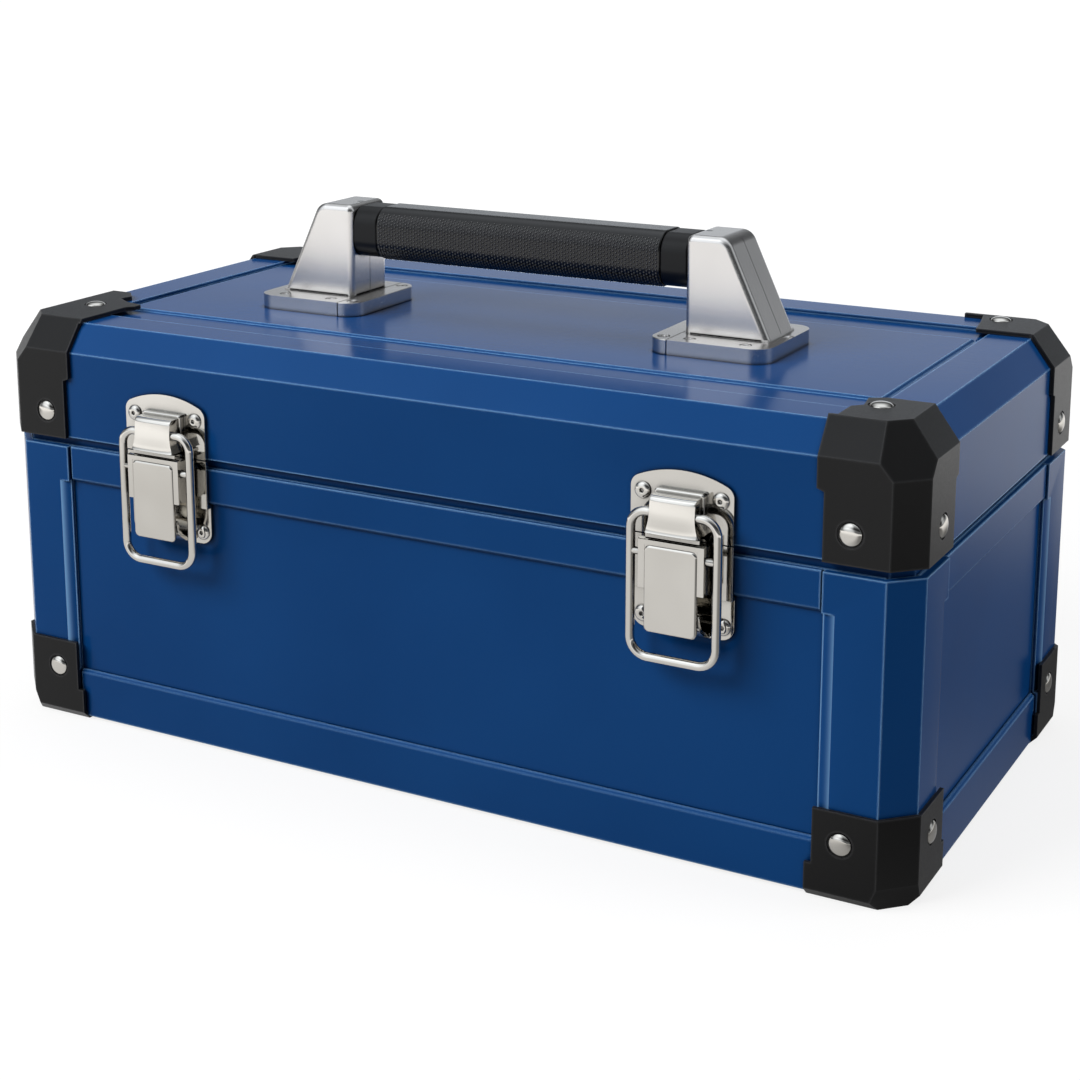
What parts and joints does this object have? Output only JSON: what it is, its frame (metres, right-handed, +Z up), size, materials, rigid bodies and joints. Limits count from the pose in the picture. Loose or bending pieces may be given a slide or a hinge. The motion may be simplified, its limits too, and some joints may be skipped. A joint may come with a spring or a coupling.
{
  "type": "portable tool box",
  "caption": "Rectangular metal tool box with a hinged chamfered lid, draw latches, a fixed leather grip between metal brackets, and black corner caps.",
  "frame": {"origin": "centre of the bounding box's footprint, on the ground under the feet, at rest with the lid shut", "axes": "+X to the right seen from the front, +Y from the latches to the hinges, +Z up"},
  "size_m": [0.4052, 0.2202, 0.2162],
  "materials": {
    "blue_paint": "satin blue paint on sheet steel",
    "cap_black": "satin black moulded corner caps",
    "nickel_plate": "satin nickel plating on pressed steel",
    "brushed_bracket": "satin brushed, with polished edges",
    "grip_leather": "black pebbled leather with a stitched seam",
    "collar_black": "smooth satin black collars"
  },
  "bodies": {
    "box": {"floor_panel": "blue_paint", "front_panel": "blue_paint", "back_panel": "blue_paint", "left_panel": "blue_paint", "right_panel": "blue_paint", "front_left_post": "blue_paint", "front_right_post": "blue_paint", "back_left_post": "blue_paint", "back_right_post": "blue_paint", "top_front_rail": "blue_paint", "top_back_rail": "blue_paint", "top_left_rail": "blue_paint", "top_right_rail": "blue_paint", "bottom_front_rail": "blue_paint", "bottom_back_rail": "blue_paint", "bottom_left_rail": "blue_paint", "bottom_right_rail": "blue_paint", "centring_lip": "blue_paint", "front_left_foot": "cap_black", "front_right_foot": "cap_black", "back_left_foot": "cap_black", "back_right_foot": "cap_black", "foot_rivets": "nickel_plate", "left_keeper": "nickel_plate", "right_keeper": "nickel_plate", "keeper_screws": "nickel_plate", "left_body_leaf": "nickel_plate", "right_body_leaf": "nickel_plate", "hinge_pins": "nickel_plate", "body_leaf_rivets": "nickel_plate"},
    "lid": {"lid_panel": "blue_paint", "lid_front_rail": "blue_paint", "lid_back_rail": "blue_paint", "lid_left_rail": "blue_paint", "lid_right_rail": "blue_paint", "front_left_cap": "cap_black", "front_right_cap": "cap_black", "back_left_cap": "cap_black", "back_right_cap": "cap_black", "cap_rivets": "nickel_plate", "left_catch": "nickel_plate", "right_catch": "nickel_plate", "catch_screws": "nickel_plate", "left_lid_leaf": "nickel_plate", "right_lid_leaf": "nickel_plate", "lid_leaf_rivets": "nickel_plate", "left_bracket": "brushed_bracket", "right_bracket": "brushed_bracket", "left_bracket_foot": "brushed_bracket", "right_bracket_foot": "brushed_bracket", "bracket_screws": "brushed_bracket", "handle_bar": "brushed_bracket", "grip": "grip_leather", "left_collar": "collar_black", "right_collar": "collar_black"},
    "left_loop": {"left_bail": "nickel_plate"},
    "right_loop": {"right_bail": "nickel_plate"},
    "left_pull": {"left_lever": "nickel_plate"},
    "right_pull": {"right_lever": "nickel_plate"}
  },
  "joints": [
    {"name": "lid_hinge", "type": "hinge", "parent": "box", "child": "lid", "pos_m": [0, 0.10675, 0.1223], "axis": [-1, 0, 0], "range_deg": [0, 100]},
    {"name": "left_bail_pivot", "type": "hinge", "parent": "lid", "child": "left_loop", "pos_m": [-0.114, -0.1069, 0.1345], "axis": [-1, 0, 0], "range_deg": [0, 110]},
    {"name": "left_lever_pivot", "type": "hinge", "parent": "left_loop", "child": "left_pull", "pos_m": [-0.114, -0.1069, 0.1194], "axis": [-1, 0, 0], "range_deg": [0, 105]},
    {"name": "right_bail_pivot", "type": "hinge", "parent": "lid", "child": "right_loop", "pos_m": [0.114, -0.1069, 0.1345], "axis": [-1, 0, 0], "range_deg": [0, 110]},
    {"name": "right_lever_pivot", "type": "hinge", "parent": "right_loop", "child": "right_pull", "pos_m": [0.114, -0.1069, 0.1194], "axis": [-1, 0, 0], "range_deg": [0, 105]}
  ]
}
